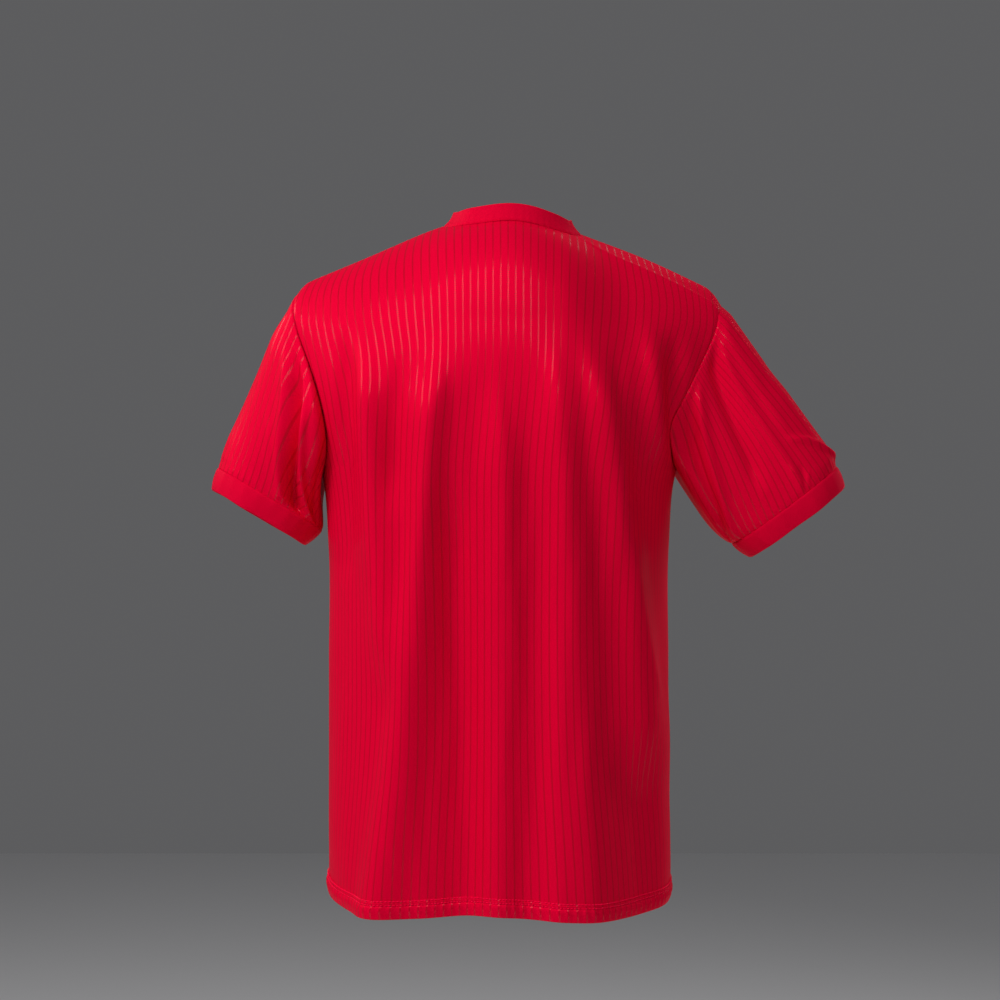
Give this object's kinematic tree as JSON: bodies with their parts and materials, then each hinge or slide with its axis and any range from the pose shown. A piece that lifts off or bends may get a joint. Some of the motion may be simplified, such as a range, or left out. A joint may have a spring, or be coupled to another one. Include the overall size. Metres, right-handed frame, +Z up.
{
  "type": "football jersey",
  "caption": "Plain short-sleeved football jersey in fine tonal-striped red knit, with rib neck band and cuffs, standing hollow in its worn form.",
  "frame": {"origin": "the wearer_shoulders mount: the middle of the shoulder line, level with the foot of the neck band at its sides", "axes": "+Z up, +X to the wearer's left, +Y out of the back; the chest faces -Y"},
  "size_m": [0.6647, 0.2622, 0.7309],
  "materials": {
    "red_knit": "satin polyester knit with fine darker pinstripes 8 mm apart",
    "red_rib": "matte doubled rib, no stripes"
  },
  "bodies": {
    "root": {"back_panel": "red_knit", "front_panel": "red_knit", "sleeve_left": "red_knit", "sleeve_right": "red_knit", "cuff_left": "red_rib", "cuff_right": "red_rib", "collar": "red_rib"}
  },
  "joints": []
}
